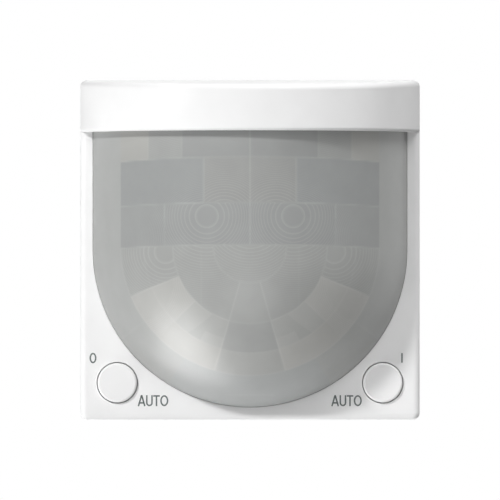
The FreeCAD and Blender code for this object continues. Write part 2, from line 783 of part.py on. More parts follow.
def wedge(name, foot, top, length, height):
    """A prism with two slopes that stands on the board, its foot and top centred on x."""
    prism = doc.addObject("Part::Wedge", name)
    sizes = {"Xmin": -foot, "Xmax": foot, "X2min": -top, "X2max": top, "Ymax": height}
    sizes.update({"Zmin": -length / 2, "Zmax": length / 2, "Z2min": -length / 2, "Z2max": length / 2})
    prism.Ymin = 0
    for path, size in sizes.items():
        setattr(prism, path, plain(size))
        bind(prism, path, size)
    prism.Placement.Rotation = FreeCAD.Rotation(FreeCAD.Vector(0, 0, 1), 180)
    return put(prism, 0, board_front, s.sensor_height)


def sensor_holder():
    """The hollow roof that carries both sensors, pegged into the board; also where its pegs are."""
    slope = s.header_radius + s.holder_margin
    top = s.sensor_spread - slope * tilt_cosine
    height = sensor_depth + slope * tilt_sine - board_front
    reach = sensor_depth - board_front
    foot = s.sensor_spread + reach * tilt_cosine / tilt_sine
    inside_height = height - s.holder_wall
    inside_foot = foot - s.holder_wall / tilt_sine
    inside_top = inside_foot - inside_height * tilt_cosine / tilt_sine
    bores = []
    for side in SIDES.values():
        for out, along in LEAD_PLACES:
            bore = rod(f"holder_bore_{len(bores)}", s.lead_radius + s.hole_clearance, s.lead_bend,
                       side * out * s.lead_circle, -s.lead_bend, along * s.lead_circle)
            bores.append(stand(group(f"holder_bore_{len(bores)}_leaning", bore), side))
    roof = cut(
        "holder_roof",
        wedge("holder_outside", foot, top, s.holder_length, height),
        wedge("holder_inside", inside_foot, inside_top, s.holder_length - 2 * s.holder_wall,
              inside_height),
        *bores,
    )
    peg_place = (foot + inside_foot) / 2
    pegs = [
        rod(f"{side_name}_holder_peg", s.peg_radius, s.board_thickness,
            side * peg_place, s.board_seat, s.sensor_height)
        for side_name, side in SIDES.items()
    ]
    return fuse("sensor_holder", roof, *pegs), peg_place


# Board, plug and adjusters


def pin_places():
    for column in range(count.plug_columns):
        for row in range(count.plug_rows):
            yield (
                (column - (count.plug_columns - 1) / 2) * s.plug_pitch,
                s.plug_height + (row - (count.plug_rows - 1) / 2) * s.plug_pitch,
            )


def trimmer_place(place):
    return place * s.trimmer_pitch, -(half_side - s.trimmer_inset)


def main_board(peg_place):
    """The circuit board, drilled for every lead, pin and peg."""
    body = new_body("main_board")
    board = front_sketch(body, "board_outline", s.board_seat)
    rounded_square(board, fitted_side, s.board_corner)
    pad(body, "board", board, s.board_thickness)
    holes = front_sketch(body, "board_holes", board_front)
    for side in SIDES.values():
        circle(holes, side * peg_place, s.sensor_height, s.peg_radius + s.hole_clearance)
        for out, along in LEAD_PLACES:
            x, _, z = lead_bend_place(side, out, along)
            circle(holes, x, z, s.lead_radius + s.hole_clearance)
    for x, z in pin_places():
        circle(holes, x, z, s.pin_side * DIAGONAL / 2 + s.hole_clearance)
    for place in TRIMMERS.values():
        x, z = trimmer_place(place)
        for lead in TERMINALS:
            circle(holes, x + lead * s.terminal_pitch, z, s.terminal_radius + s.hole_clearance)
    pocket(body, "drilling", holes, s.board_thickness)
    return body


def plug():
    """The block and the pins that go into the insert in the wall."""
    width = s.plug_columns * s.plug_pitch + 2 * s.plug_rim
    height = s.plug_rows * s.plug_pitch + 2 * s.plug_rim
    block_end = s.shell_depth + s.plug_proud
    length = block_end + s.board_seat
    tail = board_front + s.pin_tail
    hole_side = s.pin_side + 2 * s.pin_clearance
    pins = []
    holes = []
    for number, (x, z) in enumerate(pin_places()):
        pins.append(block(f"plug_pin_{number}", s.pin_side, s.pin_side, tail + s.pin_reach,
                          x, -s.pin_reach, z))
        holes.append(block(f"plug_hole_{number}", hole_side, hole_side, length, x, -block_end, z))
    shell = block("plug_blank", width, height, length, 0, -block_end, s.plug_height)
    return [cut("plug_block", shell, *holes), group("plug_pins", *pins)]


def trimmer(name, place):
    """One adjuster: its body behind the board, its three leads and the dial for a screwdriver."""
    x, z = trimmer_place(place)
    body_end = s.trimmer_depth - s.board_seat
    bore = s.spindle_radius + s.spindle_clearance
    base = cut(
        f"{name}_adjuster",
        block(f"{name}_block", s.trimmer_side, s.trimmer_side, s.trimmer_depth, x, -body_end, z),
        rod(f"{name}_bore", bore, s.spindle_depth + s.spindle_clearance, x, -body_end, z),
    )
    leads = group(f"{name}_leads", *[
        rod(f"{name}_lead_{lead + 1}", s.terminal_radius, s.board_thickness + s.lead_tail,
            x + lead * s.terminal_pitch, s.board_seat, z)
        for lead in TERMINALS
    ])
    dial_end = s.shell_depth - s.dial_recess
    disc_front = body_end + s.dial_lift
    dial = cut(
        f"{name}_dial",
        fuse(
            f"{name}_dial_blank",
            rod(f"{name}_disc", s.dial_radius, dial_end - disc_front, x, -dial_end, z),
            rod(f"{name}_spindle", s.spindle_radius, disc_front - body_end + s.spindle_depth,
                x, -disc_front, z),
        ),
        block(f"{name}_slot", 2 * s.dial_radius, s.slot_width, s.slot_depth, x, -dial_end, z),
        block(f"{name}_pointer", s.pointer_width, s.dial_radius, s.slot_depth, x, -dial_end,
              z + s.dial_radius),
    )
    return [base, leads, dial]


# Parts on the board


def microcontroller():
    """The main chip on the front of the board, with its leads."""
    z = -(lens_rim - s.chip_inset)
    chip = block("microcontroller", s.chip_side, s.chip_side, s.chip_thickness, 0, board_front, z)
    leads = []
    for number in range(count.chip_leads):
        along = (number - (count.chip_leads - 1) / 2) * s.chip_pitch
        for side in SIDES.values():
            out = side * (s.chip_side + s.chip_lead_reach) / 2
            leads.append(block(f"chip_lead_{len(leads)}", s.chip_lead_reach, s.chip_lead_width,
                               s.chip_lead_thickness, out, board_front, z + along))
            leads.append(block(f"chip_lead_{len(leads)}", s.chip_lead_width, s.chip_lead_reach,
                               s.chip_lead_thickness, along, board_front, z + out))
    return [chip, group("microcontroller_leads", *leads)]


def storage_capacitor(side_name):
    """A round capacitor behind the board, on its plastic foot."""
    x = SIDES[side_name] * (box_inside - s.capacitor_gap - s.capacitor_radius)
    foot_end = s.capacitor_base - s.board_seat
    foot_side = 2 * s.capacitor_radius
    name = f"{side_name}_capacitor"
    return [
        block(f"{name}_foot", foot_side, foot_side, s.capacitor_base, x, -foot_end, s.capacitor_rise),
        rod(f"{name}_can", s.capacitor_radius, s.capacitor_height, x,
            -(foot_end + s.capacitor_height), s.capacitor_rise),
    ]


def small_parts():
    """The parts on the board that are one solid each."""
    return [
        block("voltage_regulator", s.regulator_width, s.regulator_height, s.regulator_thickness,
              0, s.board_seat - s.regulator_thickness,
              box_inside - s.regulator_gap - s.regulator_height / 2),
        block("crystal", s.crystal_length, s.crystal_width, s.crystal_thickness,
              0, s.board_seat - s.crystal_thickness, -s.crystal_drop),
        block("light_sensor", s.light_sensor_side, s.light_sensor_side, s.light_sensor_thickness,
              0, board_front, lens_top - s.light_sensor_drop),
        block("indicator_lamp", s.led_width, s.led_height, s.led_thickness,
              0, board_front, -s.led_drop),
    ]


def chip_row(name, thickness, depth):
    """Two rows of chip parts, left and right of the middle."""
    parts = []
    for side in SIDES.values():
        for number in range(count.chip_part_count):
            step = number - (count.chip_part_count - 1) / 2
            parts.append(block(f"{name}_{len(parts)}", s.chip_part_width, s.chip_part_length, thickness,
                               side * s.chip_row_spread + step * s.chip_part_pitch, depth,
                               -s.chip_row_drop))
    return group(name, *parts)


# Back


def rear_housing():
    """The back shell: a plate that snaps into the skirt, a box with its openings, and four studs."""
    body = new_body("rear_housing")
    plate = front_sketch(body, "rim_outline", s.shell_recess)
    square(plate, fitted_side)
    pad(body, "rim", plate, s.board_seat - s.shell_recess)
    catches = front_sketch(body, "catch_outlines", catch_middle - s.catch_height / 2)
    catch_shapes(catches, s.shell_side / 2, skirt_inside + s.catch_reach, s.catch_width / 2)
    pad(body, "catches", catches, s.catch_height)
    box = front_sketch(body, "box_outline", -s.shell_depth)
    rounded_square(box, s.shell_side / 2, s.shell_corner)
    pad(body, "box", box, s.shell_depth + s.shell_recess)
    hollow = front_sketch(body, "box_inside", s.board_seat)
    rounded_square(hollow, box_inside, s.shell_corner - s.shell_wall)
    pocket(body, "hollow", hollow, s.board_seat + s.shell_depth - s.shell_floor)
    openings = front_sketch(body, "floor_openings", -(s.shell_depth - s.shell_floor))
    half_width = s.plug_columns * s.plug_pitch / 2 + s.plug_rim + s.plug_clearance
    half_height = s.plug_rows * s.plug_pitch / 2 + s.plug_rim + s.plug_clearance
    rectangle(openings, -half_width, half_width, s.plug_height - half_height, s.plug_height + half_height)
    for place in TRIMMERS.values():
        circle(openings, *trimmer_place(place), s.dial_radius + s.dial_clearance)
    pocket(body, "openings", openings, s.shell_floor)
    studs = front_sketch(body, "stud_outlines", -s.shell_depth)
    for across in SIDES.values():
        for up in SIDES.values():
            circle(studs, across * s.stud_spacing / 2, up * s.stud_spacing / 2, s.stud_radius)
    pad(body, "studs", studs, s.stud_length, reverse=True)
    dress(body, "Chamfer", "stud_tips", s.stud_chamfer,
          lambda middle: near(middle.y, s.shell_depth + s.stud_length))
    return body


# The whole unit

holder, peg_place = sensor_holder()
subparts = [front_cover(), lens(), lens_carrier(), holder, main_board(peg_place), rear_housing()]
for side_name in SIDES:
    subparts.append(button(side_name))
    subparts += switch(side_name) + sensor(side_name) + storage_capacitor(side_name)
for trimmer_name, trimmer_step in TRIMMERS.items():
    subparts += trimmer(trimmer_name, trimmer_step)
subparts += plug() + microcontroller() + small_parts()
subparts.append(chip_row("chip_resistors", s.resistor_thickness, board_front))
subparts.append(chip_row("chip_capacitors", s.ceramic_thickness, s.board_seat - s.ceramic_thickness))
doc.recompute()

for thing in doc.Objects:
    if "Invalid" in thing.State or "Error" in thing.State:
        raise RuntimeError(f"{thing.Label} failed: {thing.State}")
for thing in subparts:
    if thing.Shape.isNull() or not thing.Shape.isValid():
        raise RuntimeError(f"{thing.Label} has no valid shape")
os.makedirs("parts", exist_ok=True)
for thing in subparts:
    thing.Shape.exportStep(f"parts/{thing.Label}.step")
print(f"{len(subparts)} sub-parts written")
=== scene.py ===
"""The look of the motion detector: a white cover with a segmented grey lens under its hood."""

import json
import math

import bmesh
import bpy
import numpy as np
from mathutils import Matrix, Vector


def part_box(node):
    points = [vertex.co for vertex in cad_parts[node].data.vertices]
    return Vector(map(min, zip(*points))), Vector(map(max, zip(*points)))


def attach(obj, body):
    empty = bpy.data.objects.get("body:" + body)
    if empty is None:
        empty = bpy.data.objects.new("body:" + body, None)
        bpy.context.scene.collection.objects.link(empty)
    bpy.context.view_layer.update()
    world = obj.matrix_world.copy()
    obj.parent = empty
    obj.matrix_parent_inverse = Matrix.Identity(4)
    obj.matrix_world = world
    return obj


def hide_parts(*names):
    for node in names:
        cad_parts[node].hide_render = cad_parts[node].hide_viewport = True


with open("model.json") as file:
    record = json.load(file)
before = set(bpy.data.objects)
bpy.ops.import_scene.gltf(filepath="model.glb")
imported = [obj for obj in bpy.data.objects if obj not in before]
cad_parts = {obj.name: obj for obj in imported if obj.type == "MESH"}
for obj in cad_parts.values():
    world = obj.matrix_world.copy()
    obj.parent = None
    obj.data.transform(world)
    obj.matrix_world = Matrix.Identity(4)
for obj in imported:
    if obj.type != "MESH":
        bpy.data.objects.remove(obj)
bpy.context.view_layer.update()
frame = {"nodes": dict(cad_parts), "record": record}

MM = 0.001
MICRON = 0.000001
SAME_PLACE = 0.0000001  # metres between points that count as one
NODES = frame["nodes"]
RECORD = frame["record"]
SETTINGS = ("sensitivity", "brightness", "delay")  # each has a dial in the back

# Shape of the lens, in millimetres. Its solid gives every size that can be read from a box.
COVER_DEPTH = 12.0  # seat to the cover's flat plane
FLANGE_THICKNESS = 1.0
RIM_LENGTH = 1.4  # straight wall between flange and flat plane
LENS_WALL = 1.0
RIM_RADIUS = 25.45
LENS_LOW, LENS_HIGH = ([value / MM for value in corner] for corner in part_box("lens"))
LENS_FRONT = -LENS_LOW[1]
LENS_TOP = LENS_HIGH[2]
FLANGE_RADIUS = LENS_HIGH[0]
BULGE = LENS_FRONT - COVER_DEPTH
LENS_RADIUS = (RIM_RADIUS**2 + BULGE**2) / (2 * BULGE)
LENS_AXIS = LENS_FRONT - LENS_RADIUS  # depth of the dome's middle

# Steps of the lens mesh
FRONT_STEP = 0.2
INSIDE_STEP = 1.0
BARREL_STEP = 0.25
TURN_STEP = 0.75  # degrees

# The lens pattern, in millimetres and degrees as seen from the front. Its two halves are alike.
PATTERN_CENTRE = 0.6  # height of the middle of the arcs
ARCS = (5.86, 12.36, 17.09, 20.8)
ROWS = ((14.9, 0.075), (7.62, 0.065), (0.88, 0.059))  # foot in the middle, fall per depth
TOP_COLUMNS = (10.9, 16.3)  # seams between the cells of each row
MIDDLE_COLUMN = 7.4
LOW_COLUMN = 13.7
RAYS = (15.7, 30.4, 45.2, 54.3, 67.2)  # from straight down
SECTOR_CENTRE = (19.2, -5.0)  # round edge of the pale cells
SECTOR_RADIUS = 7.05
SECTOR_START = 50.0
SLANT_START = 29.0  # slanted edge beside the foot: its angle at the second arc
SLANT_TURN = 6.9  # and how much more it is at the third
CORNER_RADIUS = 15.3  # soft corner beside the foot
CORNER_ANGLE = 28.0
STEP_BLUR = 0.09
RAY_BLUR = 0.35

# Seams between the cells
SEAM_HALF_WIDTH = 0.13
SEAM_DEPTH = 0.015
SEAM_LIGHT = 0.16  # how much lighter a seam is
SEAM_END = 0.4  # how far from the rim the seams fade out, and over what width
SEAM_END_BLUR = 0.2
ARC_SEAMS = (0.5, 0.4, 0.3, 0.4)  # strength of each arc
STRONG_PART = 12.0  # end of the strong part of the middle row's seam
STRONG_FOOT = (5.0, 0.3)  # foot of the strong part of the low column, and its blur
SIDE_CUT = 7.8  # upright seam beside the innermost arc
FOOT_CUT = (-23.4, 4.0)  # height and half width of the level seam at the foot

# Fine rings of the cells
FIRST_ZONE = 0.2  # number of the ring at their middle
RINGS = {  # how far to the side and how high their middle is, growth of the radius squared
    "row_1": (7.7, 34.8, 13.0),
    "row_2": (4.1, 4.5, 4.7),
    "row_3": (6.9, 5.4, 4.7),
    "beside_rows": (6.9, 1.8, 4.7),
    "belt_0": (0.0, 5.2, 6.6),
    "belt_1": (7.0, 5.4, 7.0),
    "belt_2": (13.5, -0.3, 4.7),
    "sector": (*SECTOR_CENTRE, 4.7),
    "foot": (0.0, 5.0, 4.7),
    "low_side": (-3.9, -5.2, 4.7),
}

# Tones of the cells: how much lighter than the middle of the lens, and how cool
BLUISH = (0.98, 0.8)
DUSKY = (0.99, 0.4)
PLAIN = (1.0, -0.1)
COOL = (1.01, 0.5)
EVEN = (1.08, 0.1)
MILD = (1.12, 0.0)
BROWN = (1.2, -0.9)
STEP = (1.2, -0.3)
OUTER = (1.2, 0.0)
CLEAR = (1.19, 0.7)
BAND = (1.23, 0.1)
SOFT = (1.3, -0.4)
BRIGHT = (1.34, -0.9)
PALE = (1.36, -0.7)
LENS_GREY = 0.285  # of the middle of the lens
# Red, green and blue: their share of the grey, and what coolness adds to it
CHANNELS = ((0.982, -0.02), (1.0, 0.0), (0.974, 0.022))


def new_object(name, data):
    """An object in the scene with this mesh, light or camera."""
    made = bpy.data.objects.new(name, data)
    bpy.context.scene.collection.objects.link(made)
    return made


# Shading

# Noise cells to the metre
PATCHES = 90
GLOSS_GRAIN = 0.25  # of moulded plastic, against its own grain
CLOUDS = 260
LACQUER_GRAIN = 700
METAL_LINES = 900
INK_SPECKS = 1500
LENS_GRAIN = 1800

PLASTICS = {  # colour, roughness, grains to the metre, their depth in microns, any clear coat
    "black_plastic": ((0.03, 0.03, 0.03), 0.5, 2200, 20),
    "white_plastic": ((0.85, 0.85, 0.83), 0.4, 2200, 10),
    "holder_plastic": ((0.7, 0.7, 0.68), 0.5, 1800, 20),
    "rear_plastic": ((0.2, 0.205, 0.21), 0.55, 1500, 40),
    "chip_plastic": ((0.035, 0.035, 0.038), 0.55, 3000, 10),
    "blue_plastic": ((0.03, 0.09, 0.42), 0.4, 2400, 10),
    "ceramic": ((0.66, 0.55, 0.38), 0.6, 2500, 10),
    "clear_epoxy": ((0.72, 0.74, 0.7), 0.15, 1500, 5, 0.5),
    "red_epoxy": ((0.6, 0.03, 0.02), 0.15, 1500, 5, 0.5),
    "dark_glass": ((0.02, 0.02, 0.025), 0.1, 1500, 2, 0.5),
}
COVER_PLASTIC = ((0.9, 0.9, 0.9), 0.45, 2600, 4)  # the same four
METALS = {  # colour, roughness, how many times finer the lines are along each axis
    "steel_can": ((0.62, 0.62, 0.61), 0.3, (1, 1, 12)),
    "tinned_metal": ((0.72, 0.72, 0.72), 0.28, (12, 1, 1)),
    "aluminium_can": ((0.78, 0.78, 0.79), 0.3, (1, 14, 1)),
    "pin_metal": ((0.83, 0.62, 0.28), 0.22, (12, 1, 12)),
}
LACQUER = (0.012, 0.10, 0.035)
LACQUER_ON_TRACK = (0.03, 0.20, 0.07)
LEGEND_INK = (0.11, 0.128, 0.126)
SCALE_INK = (0.7, 0.7, 0.69)
SLOT_SHADE_COLOR = (0.16, 0.16, 0.16, 1)  # painted shade in the slot and the notch of a dial
SLOT_SHADE_DEPTHS = (0.0002, 0.0003)  # metres below the dial's face: white to here, painted shade from here

GROOVE_START = 0.6  # share of a ring at which its lighter edge begins
GROOVE_LIGHT = (0.045, 0.045, 0.044, 1)  # what that edge adds to the tone
RINGS_FADE = (2.0, 40.0)  # the rings at which the grooves are fullest and faintest
FAINTEST = 0.35


def put(value, socket):
    """A value on a socket, or a link to it from another node's output."""
    if isinstance(value, bpy.types.NodeSocket):
        socket.id_data.links.new(value, socket)
    else:
        socket.default_value = value


def fill(node, *values, **named):
    """Puts values and links on a node's sockets, the first ones in order, the others by name."""
    for number, value in enumerate(values):
        put(value, node.inputs[number])
    for name, value in named.items():
        put(value, node.inputs[name.replace("_", " ")])
    return node


def add(tree, kind, *values, settings=None, **named):
    """A new node with settings of its own, and its sockets filled."""
    node = tree.nodes.new(f"ShaderNode{kind}")
    for key, value in (settings or {}).items():
        setattr(node, key, value)
    return fill(node, *values, **named)


def new_material(name):
    """An empty Principled material, its node tree and its shader."""
    made = bpy.data.materials.new(name)
    made.use_nodes = True
    return made, made.node_tree, made.node_tree.nodes["Principled BSDF"]


def multiply(tree, first, second):
    return add(tree, "Math", first, second, settings={"operation": "MULTIPLY"}).outputs[0]


def place(tree):
    """Where a point is on the object, in metres."""
    return add(tree, "TexCoord").outputs["Object"]


def noise(tree, scale, detail=3.0, stretch=(1, 1, 1)):
    mapping = add(tree, "Mapping", Vector=place(tree), Scale=stretch)
    spots = add(tree, "TexNoise", Vector=mapping.outputs[0], Scale=scale, Detail=detail)
    return spots.outputs[0]


def ramp(tree, value, low, high, positions=(0.3, 0.7)):
    """Mixes two colours by a value."""
    node = add(tree, "ValToRGB", value)
    for element, position, color in zip(node.color_ramp.elements, positions, (low, high)):
        element.position = position
        element.color = (*color, 1)
    return node.outputs[0]


def uneven(tree, value, color, share):
    """A colour made darker and lighter by a share of itself."""
    return ramp(tree, value, scaled(color, 1 - share), scaled(color, 1 + share))


def scaled(color, factor):
    return tuple(min(1.0, value * factor) for value in color)


def vary(tree, value, low, high):
    """A number between two limits, by a value of 0 to 1."""
    return add(tree, "MapRange", Value=value, To_Min=low, To_Max=high).outputs[0]


def bump(tree, height, strength, microns):
    node = add(tree, "Bump", Height=height, Strength=strength, Distance=microns * MICRON)
    return node.outputs[0]


def moulded(name, color, roughness, grain, depth, coat=0.0):
    """Moulded plastic: a slightly uneven colour and a fine grain."""
    material, tree, shader = new_material(name)
    gloss = noise(tree, grain * GLOSS_GRAIN)
    fill(
        shader,
        Base_Color=uneven(tree, noise(tree, PATCHES), color, share=0.03),
        Roughness=vary(tree, gloss, low=roughness * 0.85, high=roughness * 1.15),
        Normal=bump(tree, noise(tree, grain), strength=0.5, microns=depth),
        Coat_Weight=coat,
        Coat_Roughness=0.12,
    )
    return material


def cover_plastic():
    """Plastic without gloss, which would lose the outline in the white that it mirrors."""
    material = moulded("cover_plastic", *COVER_PLASTIC)
    fill(material.node_tree.nodes["Principled BSDF"], Specular_IOR_Level=0.0)
    return material


def dial_plastic_slot_shade():
    """White plastic with painted shade in the slot and pointer notch, so that these recesses show
    darker.
    """
    material = moulded("dial_plastic_slot_shade", *PLASTICS["white_plastic"])
    tree = material.node_tree
    shader = tree.nodes["Principled BSDF"]
    white = shader.inputs["Base Color"].links[0].from_socket
    face = max(corner.co.y for corner in NODES["delay_dial"].data.vertices)
    depth = add(tree, "SeparateXYZ", Vector=place(tree)).outputs[1]
    white_to, shade_from = (face - below_face for below_face in SLOT_SHADE_DEPTHS)
    # painted shade: below the face the slot and the notch turn dark
    on_face = add(tree, "MapRange", Value=depth, From_Min=shade_from, From_Max=white_to)
    both = add(tree, "MixRGB", Fac=on_face.outputs[0], Color1=SLOT_SHADE_COLOR, Color2=white)
    fill(shader, Base_Color=both.outputs[0])
    return material


def metal(name, color, roughness, stretch):
    """Drawn or rolled metal, with fine lines along one direction."""
    material, tree, shader = new_material(name)
    lines = noise(tree, METAL_LINES, detail=4, stretch=stretch)
    fill(
        shader,
        Base_Color=ramp(tree, lines, scaled(color, 0.8), color),
        Roughness=vary(tree, lines, low=roughness * 0.7, high=roughness * 1.3),
        Normal=bump(tree, lines, strength=0.2, microns=10),
        Metallic=1.0,
    )
    return material


def circuit_board():
    """Green lacquer over copper tracks that run at right angles."""
    material, tree, shader = new_material("board_lacquer")
    upright = (math.radians(90), 0, 0)
    flat = add(tree, "Mapping", Vector=place(tree), Rotation=upright)
    bricks = add(
        tree, "TexBrick", Vector=flat.outputs[0], Scale=260.0, Mortar_Size=0.16, Mortar_Smooth=0.3
    )
    tracks = bricks.outputs["Fac"]
    fill(
        shader,
        Base_Color=ramp(tree, tracks, LACQUER, LACQUER_ON_TRACK, positions=(0.2, 0.8)),
        Roughness=vary(tree, noise(tree, LACQUER_GRAIN), low=0.25, high=0.4),
        Normal=bump(tree, tracks, strength=0.4, microns=30),
    )
    return material


def lens_plastic():
    """Translucent grey plastic. The mesh gives each cell's tone and its place among the rings."""
    material, tree, shader = new_material("lens_plastic")
    tone = add(tree, "Attribute", settings={"attribute_name": "cell_tone"}).outputs["Color"]
    zone = add(tree, "Attribute", settings={"attribute_name": "ring_zone"}).outputs["Fac"]
    smooth = {"interpolation_type": "SMOOTHSTEP"}
    edge = add(tree, "Math", zone, settings={"operation": "FRACT"}).outputs[0]
    groove = add(
        tree, "MapRange", settings=smooth, Value=edge, From_Min=GROOVE_START, From_Max=1.0
    )
    fullest, faintest = RINGS_FADE
    fading = add(
        tree, "MapRange", settings=smooth, Value=zone, From_Min=fullest, From_Max=faintest,
        To_Min=1.0, To_Max=FAINTEST,
    )
    grooved = add(
        tree, "MixRGB", settings={"blend_type": "ADD"}, Color1=tone, Color2=GROOVE_LIGHT,
        Fac=multiply(tree, groove.outputs[0], fading.outputs[0]),
    )
    cloudy = add(
        tree, "MixRGB", settings={"blend_type": "MULTIPLY"}, Fac=1.0, Color1=grooved.outputs[0],
        Color2=ramp(tree, noise(tree, CLOUDS), (0.97, 0.97, 0.97), (1.03, 1.03, 1.03)),
    )
    fill(
        shader,
        Base_Color=cloudy.outputs[0],
        Roughness=vary(tree, noise(tree, LENS_GRAIN), low=0.34, high=0.4),
        Normal=bump(tree, multiply(tree, edge, fading.outputs[0]), strength=0.2, microns=20),
        Specular_IOR_Level=0.9,
        Subsurface_Weight=0.15,
        Subsurface_Radius=(0.001, 0.001, 0.001),
        Subsurface_Scale=0.5,
    )
    return material


def ink(name, tone):
    material, tree, shader = new_material(name)
    specks = noise(tree, INK_SPECKS)
    fill(shader, Base_Color=uneven(tree, specks, tone, share=0.1), Roughness=0.5)
    return material


# Lens mesh


def above(value, limit, blur=STEP_BLUR):
    """0 well below a limit, 1 well above it."""
    t = np.clip((value - limit) / (2 * blur) + 0.5, 0, 1)
    return t * t * (3 - 2 * t)


def below(value, limit, blur=STEP_BLUR):
    return 1 - above(value, limit, blur)


def within(value, low, high, blur=STEP_BLUR):
    return above(value, low, blur) * below(value, high, blur)


class Pattern:
    """The cells of the lens at a set of points: their tones, seams and rings.

    Three rows of cells fill the upper part, and belts between the arcs the part below them.
    A row or belt is kept as a mask: 1 at the points inside, 0 outside, blurred at its edges.
    """

    def __init__(self, x, z, depth):
        self.side = np.abs(x)
        self.z = z
        self.radius = np.hypot(x, z - PATTERN_CENTRE)
        self.angle = np.degrees(np.arctan2(self.side, PATTERN_CENTRE - z))
        self.feet = [z - (height - fall * (LENS_FRONT - depth)) for height, fall in ROWS]
        over_1, over_2, over_3 = (above(foot, 0) for foot in self.feet)
        self.active = below(self.side, ARCS[3])
        self.in_rows = over_3
        self.row_1 = over_1 * self.active
        self.row_2 = over_2 * (1 - over_1) * self.active
        self.row_3 = over_3 * (1 - over_2) * self.active
        limits = (-math.inf, *ARCS, math.inf)
        self.belts = [
            (1 - over_3) * within(self.radius, low, high) for low, high in zip(limits, limits[1:])
        ]
        self.tone = np.full(x.shape, BAND[0])
        self.cool = np.full(x.shape, BAND[1])
        self.seam = np.zeros(x.shape)
        self.zone = np.zeros(x.shape)

    def cell(self, mask, tone, rings=None):
        """Gives the points in a mask a tone, and rings if the cell has them."""
        self.tone += mask * (tone[0] - self.tone)
        self.cool += mask * (tone[1] - self.cool)
        inside = mask > 0.5
        if rings:
            side, height, area = RINGS[rings]
            away = (self.side - side) ** 2 + (self.z - height) ** 2
            self.zone[inside] = away[inside] / area + FIRST_ZONE
        else:
            self.zone[inside] = 0.0

    def line(self, distance, mask, strength):
        """A seam where the distance is nought."""
        ridge = np.exp(-((distance / SEAM_HALF_WIDTH) ** 2)) * mask * strength
        self.seam = np.maximum(self.seam, ridge)


def draw_cells(p):
    """Lays out every cell, from the top row to the foot of the dome."""
    ray_1, ray_2, ray_3, ray_4, ray_5 = RAYS
    belt_0, belt_1, belt_2, belt_3, belt_4 = p.belts
    p.cell(p.row_1, BROWN, "row_1")
    p.cell(p.row_1 * below(p.side, TOP_COLUMNS[1]), EVEN, "row_1")
    p.cell(p.row_1 * below(p.side, TOP_COLUMNS[0]), DUSKY)
    p.cell(p.row_2, BLUISH, "beside_rows")
    p.cell(p.row_2 * below(p.side, MIDDLE_COLUMN), PLAIN, "row_2")
    p.cell(p.row_3, COOL, "beside_rows")
    p.cell(p.row_3 * below(p.side, LOW_COLUMN), COOL, "row_3")

    p.cell(belt_2 + belt_3, MILD, "belt_2")
    p.cell(belt_0 + belt_1, MILD, "belt_1")
    p.cell(belt_0, MILD, "belt_0")

    sectors = (belt_2 + belt_3) * within(p.angle, ray_1, ray_5, RAY_BLUR)
    sector_edge = np.hypot(p.side - SECTOR_CENTRE[0], p.z - SECTOR_CENTRE[1]) - SECTOR_RADIUS
    in_sector = above(p.angle, SECTOR_START, RAY_BLUR) * below(sector_edge, 0)
    p.cell(sectors, PALE, "sector")
    p.cell(sectors * in_sector, PALE)

    beside_foot = belt_2 * within(p.angle, ray_1, ray_3, RAY_BLUR)
    slant = SLANT_START + (p.radius - ARCS[1]) / (ARCS[2] - ARCS[1]) * SLANT_TURN
    corner = above(p.radius, CORNER_RADIUS) * below(p.angle, CORNER_ANGLE, RAY_BLUR)
    p.cell(beside_foot, SOFT)
    p.cell(beside_foot * below(p.angle, slant, RAY_BLUR), STEP, "foot")
    p.cell(beside_foot * corner, SOFT)

    p.cell(belt_2 * below(p.angle, ray_1, RAY_BLUR), EVEN, "foot")
    p.cell(belt_3 * below(p.angle, ray_1, RAY_BLUR), STEP, "foot")
    p.cell(belt_3 * within(p.angle, ray_1, ray_3, RAY_BLUR), BRIGHT)
    p.cell(belt_4 * below(p.angle, ray_4, RAY_BLUR), OUTER, "low_side")
    p.cell(belt_4 * below(p.angle, ray_2, RAY_BLUR), CLEAR, "foot")


def draw_seams(p):
    """Draws the seams between the cells, each along its own part and with its own strength."""
    middle_foot = p.feet[1]
    belt_1, belt_2, belt_3, belt_4 = p.belts[1:]
    ray_1, _, ray_3, ray_4, ray_5 = RAYS
    p.line(p.side, p.in_rows, 1.0)
    for foot in p.feet:
        p.line(foot, p.active, 0.5)
    p.line(middle_foot, within(p.side, MIDDLE_COLUMN, STRONG_PART), 1.0)
    for column, mask, strength in (
        (TOP_COLUMNS[0], p.row_1, 0.5),
        (TOP_COLUMNS[1], p.row_1, 0.3),
        (MIDDLE_COLUMN, p.row_2, 1.0),
        (LOW_COLUMN, p.row_3, 0.5),
        (LOW_COLUMN, p.row_3 * above(p.z, *STRONG_FOOT), 1.0),
        (SIDE_CUT, belt_1, 0.3),
    ):
        p.line(p.side - column, mask, strength)
    for radius, strength in zip(ARCS, ARC_SEAMS):
        p.line(p.radius - radius, 1 - p.in_rows, strength)
    one_degree = np.radians(1) * p.radius
    for ray, mask, strength in (
        (ray_1, belt_1 + belt_2 + belt_3, 0.7),
        (ray_3, belt_2, 0.3),
        (ray_5, belt_2 + belt_3, 0.6),
        (ray_4, belt_4, 0.2),
    ):
        p.line((p.angle - ray) * one_degree, mask, strength)
    height, half_width = FOOT_CUT
    p.line(p.z - height, below(p.side, half_width), 0.3)


def arc(radius, width, step):
    """Points on an arc of the section, from the middle out to a half width."""
    reach = math.asin(width / radius)
    steps = round(radius * reach / step)
    turns = [reach * k / steps for k in range(steps + 1)]
    return [(radius * math.sin(turn), LENS_AXIS + radius * math.cos(turn)) for turn in turns]


